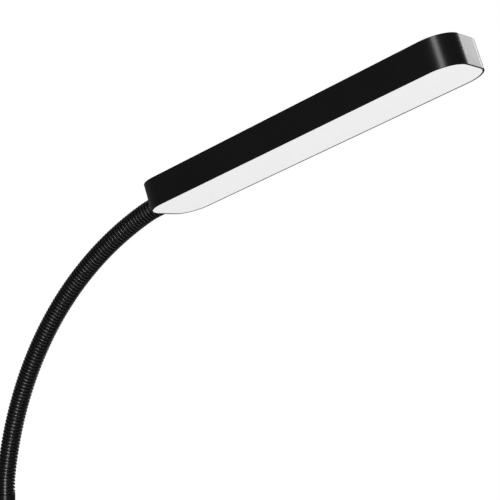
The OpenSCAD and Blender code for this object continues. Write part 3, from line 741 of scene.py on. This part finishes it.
# %% Ferrule
FERRULE_BORE, FERRULE_SEAT, FERRULE_RADIUS = 4.05, 6.57, 7.45
FERRULE_FLOOR, FERRULE_LENGTH = 8.7, 20
FERRULE = [
    (FERRULE_BORE, 0),
    (FERRULE_RADIUS, 0),
    (FERRULE_RADIUS, FERRULE_LENGTH),
    (FERRULE_SEAT, FERRULE_LENGTH),
    (FERRULE_SEAT, FERRULE_FLOOR),
    (FERRULE_BORE, FERRULE_FLOOR),
]
round_pieces.append(turned("ferrule", FERRULE, (0, 0.25, 0.35, 0.1, 0, 0)))
print(len(round_pieces), "turned pieces")

# %% [markdown]
# ## Pieces with holes
#
# The base cover has a hole for the supply inlet, and the control housing has two for the buttons, so
# they aren't surfaces of revolution. Their CAD shapes are right, but their edges are sharp. A copy
# of such a node has its loose triangles merged and its flat faces joined again. A Bevel modifier
# then rounds its edges, and Weighted Normal keeps the flat faces flat in shading.

# %% Eased copies
FLAT = math.radians(0.5)
EASE_SEGMENTS = 2


def eased(node, width):
    """A copy of a CAD node with its edges rounded to a width in metres."""
    mesh = frame["nodes"][node].data.copy()
    shape = bmesh.new()
    shape.from_mesh(mesh)
    bmesh.ops.remove_doubles(shape, verts=shape.verts, dist=SAME_POINT)
    bmesh.ops.dissolve_limit(shape, angle_limit=FLAT, verts=shape.verts, edges=shape.edges)
    made = finished(f"{node}_eased", SLOT_OF[node], mesh, shape)
    bevel = made.modifiers.new("edge", "BEVEL")
    bevel.width = width
    bevel.segments = EASE_SEGMENTS
    bevel.limit_method = "ANGLE"
    bevel.angle_limit = SHARP
    made.modifiers.new("flats", "WEIGHTED_NORMAL").keep_sharp = True
    return stands_for(made, node)


EASED = {
    "base_cover": 0.0002,
    "control_housing": 0.0003,
    "power_button": 0.0003,
    "mode_button": 0.0003,
    "dc_jack": 0.0002,
    "anti_slip_pad": 0.0004,
}
eased_pieces = [eased(node, width) for node, width in EASED.items()]
print(len(eased_pieces), "eased pieces")

# %% [markdown]
# ## The head
#
# The head is a flat case with big rounded corners, open below, round a light window. Both are a
# small profile carried round the same rounded rectangle: each profile point gives how far in from
# the outline it lies, and how high above the underside. Where the profile reaches the middle, the
# two sides meet on one line, which closes the piece. The head's place comes from the last hinge of
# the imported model.

# %% The head's own frame
HEAD_LENGTH, HEAD_WIDTH, HEAD_HEIGHT, HEAD_CORNER = 0.252, 0.0545, 0.020, 0.018
NECK_ABOVE_UNDERSIDE = 0.008
HEAD_LEAN = math.radians(70.2)
RIB_PITCH = 0.0029
RIBS_AT_END = 4
ALONG_Y = np.array([0, 1.0, 0])
hinges = [joint for joint in frame["joints"] if joint["type"] == "hinge"]
hinge_at = np.array([joint["pos_m"] for joint in hinges])


def leaning(angle):
    """Unit vectors that lean from upright towards +X."""
    angle = np.asarray(angle, float)
    return np.stack([np.sin(angle), 0 * angle, np.cos(angle)], axis=-1)


head_at = hinge_at[-1] + RIBS_AT_END * RIB_PITCH * leaning(HEAD_LEAN)


def in_head(along, across, above):
    """Points of the head: the neck's end, plus steps along the head, across it, and upwards from the
    neck's height above its underside."""
    forward = along[..., None] * leaning(HEAD_LEAN)
    sideways = across[..., None] * ALONG_Y
    upward = (above - NECK_ABOVE_UNDERSIDE)[..., None] * leaning(HEAD_LEAN - math.pi / 2)
    return head_at + forward + sideways + upward


print("the neck enters the head at", np.round(head_at, 4))

# %% Case and light window
CORNER_STEPS = 18
SHORT_OF_MIDDLE = 0.0002
RIM, WALL = 1.2, 2.6
SHOULDER, ROOF, TOP = 2.1, 18, 1000 * HEAD_HEIGHT
WINDOW_EDGE, WINDOW_FACE, WINDOW_BACK = 1.25, 0.15, 2


def head_outline(inset):
    """The head's outline drawn in by an inset: a rectangle whose corner radius shrinks with it."""
    x, y = HEAD_LENGTH / 2 - inset, HEAD_WIDTH / 2 - inset
    box = [(x, -y), (x, y), (-x, y), (-x, -y)]
    return rounded(box, max(HEAD_CORNER - inset, 0), steps=CORNER_STEPS) + [HEAD_LENGTH / 2, 0]


def head_piece(node, profile, radii):
    """A piece for a CAD node: a profile carried round the head. A profile's point is an inset and a
    height in millimetres, and its first and last heights go on to just short of the middle."""
    middle = 1000 * HEAD_WIDTH / 2 - SHORT_OF_MIDDLE
    ends = [(middle, profile[0][1]), *profile, (middle, profile[-1][1])]
    points = rounded(np.asarray(ends) / 1000, np.array([0, *radii, 0]) / 1000, closed=False)
    flat = np.array([head_outline(inset) for inset in points[:, 0]])
    height = np.broadcast_to(points[:, 1:], flat.shape[:2])
    grid = in_head(flat[..., 0], flat[..., 1], height)
    made = piece(f"{node}_formed", SLOT_OF[node], grid, wrap_rows=False)
    return stands_for(made, node)


case = head_piece(
    "head_housing",
    [(0, TOP), (0, 0), (RIM, 0), (RIM, SHOULDER), (WALL, SHOULDER), (WALL, ROOF)],
    (0.15, 0.1, 0.1, 0.1, 0.1, 0.3),
)
window = head_piece("diffuser", [(WINDOW_EDGE, WINDOW_BACK), (WINDOW_EDGE, WINDOW_FACE)], (0.2, 0.15))
print("head", [round(1000 * d, 1) for d in case.dimensions], "window faces", len(window.data.polygons))

# %% [markdown]
# ## The neck's path
#
# The physics model bends the neck at twenty hinges between straight links. A real neck bends
# everywhere, so its visible path swaps each corner for an arc that starts two ribs before the hinge
# and ends two ribs after it. Places on the path are counted in ribs from the ferrule: four ribs up
# to the first hinge, five from each hinge to the next, and four from the last hinge to the head.

# %% The path
RIBS_IN_LINK = 5
ARC_RIBS = 2.0
LAST_HINGE = len(hinges) - 1
RIBS = 2 * RIBS_AT_END + RIBS_IN_LINK * LAST_HINGE
foot_at = hinge_at[0] - RIBS_AT_END * RIB_PITCH * leaning(0)
leads = np.diff(np.concatenate([[foot_at], hinge_at, [head_at]]), axis=0)
lean = np.arctan2(leads[:, 0], leads[:, 2])


def neck_path(ribs):
    """Point and lean at places counted in ribs. Over an arc the lean grows evenly: an arc of radius R
    that has turned by an angle a goes R sin a ahead and R (1 - cos a) to the side. Before and after
    the arc the path is straight."""
    ribs = np.asarray(ribs, float)
    near = np.clip(np.round((ribs - RIBS_AT_END) / RIBS_IN_LINK), 0, LAST_HINGE).astype(int)
    away = ribs - RIBS_AT_END - RIBS_IN_LINK * near
    first, last = lean[near], lean[near + 1]
    reach = ARC_RIBS * RIB_PITCH
    radius = reach / np.tan((last - first) / 2)
    turn = np.clip((away + ARC_RIBS) / (2 * ARC_RIBS), 0, 1) * (last - first)
    ahead = (radius * np.sin(turn) - reach)[..., None] * leaning(first)
    aside = (radius * (1 - np.cos(turn)))[..., None] * leaning(first + np.pi / 2)
    before = (np.minimum(away + ARC_RIBS, 0) * RIB_PITCH)[..., None] * leaning(first)
    after = (np.maximum(away - ARC_RIBS, 0) * RIB_PITCH)[..., None] * leaning(last)
    return hinge_at[near] + ahead + aside + before + after, first + turn


print("path end", np.round(neck_path([RIBS])[0][0], 4), "head", np.round(head_at, 4))

# %% [markdown]
# ## The neck's skin, core and wire
#
# Each hinge gets its own length of neck, cut in the valleys beside the middle ribs of the two links that it joins.
#
# A length is a ring carried along the path, and the ring's radius follows the ribs. A rib's outline
# is half a superellipse of order four: the fourth powers of its two coordinates add up to 1. That
# gives a flat crest and steep sides, with a straight valley from one rib to the next.

# %% Rings along a path
BLEND_RIBS = 1.75
CUT_RIBS = 2


def carried(path, angle, radius, columns):
    """Rings round a path: each point is the path's point, plus the radius times the cosine of the
    turn across the path in its plane, and times the sine along Y."""
    around = np.linspace(0, 2 * np.pi, columns, endpoint=False)[None, :, None]
    across = leaning(angle + np.pi / 2)[:, None, :]
    ring = np.cos(around) * across + np.sin(around) * ALONG_Y
    return path[:, None, :] + radius[:, None, None] * ring


def hinge_rib(hinge):
    """A hinge's place on the path, counted in ribs."""
    return RIBS_AT_END + RIBS_IN_LINK * hinge


def cuts(hinge):
    """First and last rib place of one hinge's length of neck."""
    low = 0 if hinge == 0 else hinge_rib(hinge - 1) + CUT_RIBS
    high = RIBS if hinge == LAST_HINGE else hinge_rib(hinge) + CUT_RIBS
    return low, high


def bends(made, hinge):
    """Bakes a piece's place into its mesh and hands it back. The path's places on either side of the hinge are
    worked out but not used.
    """
    ends, _ = neck_path([hinge_rib(hinge) - BLEND_RIBS, hinge_rib(hinge) + BLEND_RIBS])
    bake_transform(made)
    return made


print("lengths of neck, in ribs:", [cuts(hinge) for hinge in (0, 1, LAST_HINGE)])

# %% [markdown]
# The first length also has the smooth spigot that stands in the ferrule, and the last one has the
# narrower thread that takes the head's screw. The crest's number follows the distance from the middle
# of a rib. It is 1 on the crest, falls to 0 down the rib's sides, and is about a third in the valley,
# where the coat still has a little shine.

# %% Skin
RIB_FOOT, RIB_TOP, RIB_WIDTH = 0.0061, 0.0074, 0.0010
RIB_POINTS = 15
half_turn = np.linspace(0, np.pi, RIB_POINTS)
rib_across = -np.sign(np.cos(half_turn)) * np.sqrt(np.abs(np.cos(half_turn)))
RIB_PLACE = np.append(0, 0.5 + RIB_WIDTH / 2 / RIB_PITCH * rib_across)
RIB_RADIUS = np.append(RIB_FOOT, RIB_FOOT + (RIB_TOP - RIB_FOOT) * np.sqrt(np.sin(half_turn).clip(0)))
SKIN_BORE = 0.0060
BORE_ROWS_PER_RIB = 2
SPIGOT_RADIUS = 0.0065
SPIGOT_RIBS = 3.79
SPIGOT_STEP_RIBS = 0.01
TIP_THREAD = 0.0041
TIP_SEAT_RIBS = 0.9
SKIN_COLUMNS = 40
SHINE_BESIDE = (-0.00051, -0.00045, -0.0003, 0.00035, 0.00045, 0.00051)
SHINE = (0.35, 0, 1, 1, 0, 0.35)


def neck_skin(hinge):
    """Outer wall over the ribs and back down the bore: the rib's outline is repeated from cut to cut,
    its place as a share of a pitch added to the rib's number."""
    low, high = cuts(hinge)
    up = np.append((np.arange(low, high)[:, None] + RIB_PLACE).ravel(), high)
    outside = np.append(np.tile(RIB_RADIUS, high - low), RIB_RADIUS[0])
    if hinge == 0:
        up = np.concatenate([[-SPIGOT_RIBS, -SPIGOT_STEP_RIBS], up])
        outside = np.concatenate([[SPIGOT_RADIUS, SPIGOT_RADIUS], outside])
    down = np.linspace(high, up[0], BORE_ROWS_PER_RIB * (high - low))
    bore = np.full(len(down), SKIN_BORE)
    if hinge == LAST_HINGE:
        bore[down > hinge_rib(hinge) + TIP_SEAT_RIBS] = TIP_THREAD
    path, angle = neck_path(np.concatenate([up, down]))
    points = carried(path, angle, np.concatenate([outside, bore]), SKIN_COLUMNS)
    beside = (up % 1 - 0.5) * RIB_PITCH
    crest = np.concatenate([np.interp(beside, SHINE_BESIDE, SHINE), 0 * down])
    made = piece(f"neck_skin_{hinge + 1:02d}", "black_neck_steel", points, crest=crest)
    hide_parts("neck_tip" if hinge == LAST_HINGE else f"neck_link_{hinge + 1:02d}")
    if hinge == 0:
        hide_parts("neck_root")
    return bends(made, hinge)


skins = [neck_skin(hinge) for hinge in range(len(hinges))]
print(len(skins), "lengths of skin,", sum(len(skin.data.polygons) for skin in skins), "faces")

# %% [markdown]
# The core is what holds the neck's bend: a stiff coil that fits the skin's bore. Through it runs the
# wire to the light board. Neither shows, but both have to bend with the skin, so they are made in
# the same lengths. The first length of wire starts at the circuit board below the ferrule, and the
# last climbs through the head to its plug.

# %% Core
CORE_RADIUS = 0.0060
CORE_BORE = 0.0033
CORE_TIP_RIBS = 0.69
CORE_ROWS_PER_RIB = 10
CORE_BORE_EVERY = 5
CORE_COLUMNS = 24
COIL_DEPTH = 0.0003


def neck_core(hinge):
    """A tube whose outside has two shallow round coils to each rib of the skin: its radius falls by
    the coil's depth times one less the size of a sine that turns once to each rib."""
    low, high = cuts(hinge)
    low = -SPIGOT_RIBS if hinge == 0 else low
    high = hinge_rib(hinge) + CORE_TIP_RIBS if hinge == LAST_HINGE else high
    up = np.linspace(low, high, round(CORE_ROWS_PER_RIB * (high - low)) + 1)
    down = up[::-CORE_BORE_EVERY]
    coil = CORE_RADIUS - COIL_DEPTH * (1 - np.abs(np.sin(2 * np.pi * up)))
    radius = np.concatenate([coil, np.full(len(down), CORE_BORE)])
    path, angle = neck_path(np.concatenate([up, down]))
    points = carried(path, angle, radius, CORE_COLUMNS)
    made = piece(f"neck_core_{hinge + 1:02d}", "spring_steel", points)
    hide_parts("neck_core")
    return bends(made, hinge)


cores = [neck_core(hinge) for hinge in range(len(hinges))]
print(len(cores), "lengths of core")

# %% [markdown]
# In the neck the wire follows the neck's path. Below, it leaves the circuit board a millimetre off
# the axis and shifts to it. Above, it climbs from the neck's axis to the plug under the head's roof.

# %% Ends of the wire
END_POINTS = 14
BOARD_HEIGHT = 1.0625
BOARD_ASIDE = 0.001
SHIFT_FROM, SHIFT_OVER = 1.0715, 0.011
PLUG_ALONG = 0.015
PLUG_CLIMB = 0.0062
CLIMB_FROM, CLIMB_OVER = 0.0076, 0.006


def wire_below():
    """From the circuit board up to the first length of neck. It shifts to the axis along a smooth
    step, three t squared less two t cubed."""
    z = np.linspace(BOARD_HEIGHT, foot_at[2], END_POINTS)
    t = np.clip((z - SHIFT_FROM) / SHIFT_OVER, 0, 1)
    x = -BOARD_ASIDE * (1 - (3 - 2 * t) * t * t)
    return np.stack([x, 0 * z, z], axis=1)[:-1]


def wire_above():
    """From the last length of neck to the plug. It climbs along half a cosine."""
    along = np.linspace(0, PLUG_ALONG, END_POINTS)
    climb = (1 - np.cos(np.pi * np.clip((along - CLIMB_FROM) / CLIMB_OVER, 0, 1))) / 2
    return in_head(along, 0 * along, NECK_ABOVE_UNDERSIDE + PLUG_CLIMB * climb)[1:]


print("wire from", wire_below()[0].round(4), "to", wire_above()[-1].round(4))

# %% Wire
WIRE_RADIUS = 0.0016
WIRE_ROWS_PER_RIB = 4
WIRE_COLUMNS = 16


def lamp_wire(hinge):
    """A round tube along the path, closed at both ends by rings of no radius."""
    low, high = cuts(hinge)
    path, _ = neck_path(np.linspace(low, high, WIRE_ROWS_PER_RIB * (high - low) + 1))
    if hinge == 0:
        path = np.concatenate([wire_below(), path])
    if hinge == LAST_HINGE:
        path = np.concatenate([path, wire_above()])
    step = np.gradient(path, axis=0)
    angle = np.arctan2(step[:, 0], step[:, 2])
    if hinge > 0:
        angle[0] = neck_path([low])[1][0]
    if hinge < LAST_HINGE:
        angle[-1] = neck_path([high])[1][0]
    path = path[[0, *range(len(path)), -1]]
    angle = angle[[0, *range(len(angle)), -1]]
    radius = np.full(len(path), WIRE_RADIUS)
    radius[[0, -1]] = 0
    points = carried(path, angle, radius, WIRE_COLUMNS)
    made = piece(f"lamp_wire_{hinge + 1:02d}", "wire_jacket", points, wrap_rows=False)
    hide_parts("lamp_wire")
    return bends(made, hinge)


wires = [lamp_wire(hinge) for hinge in range(len(hinges))]
print(len(wires), "lengths of wire")
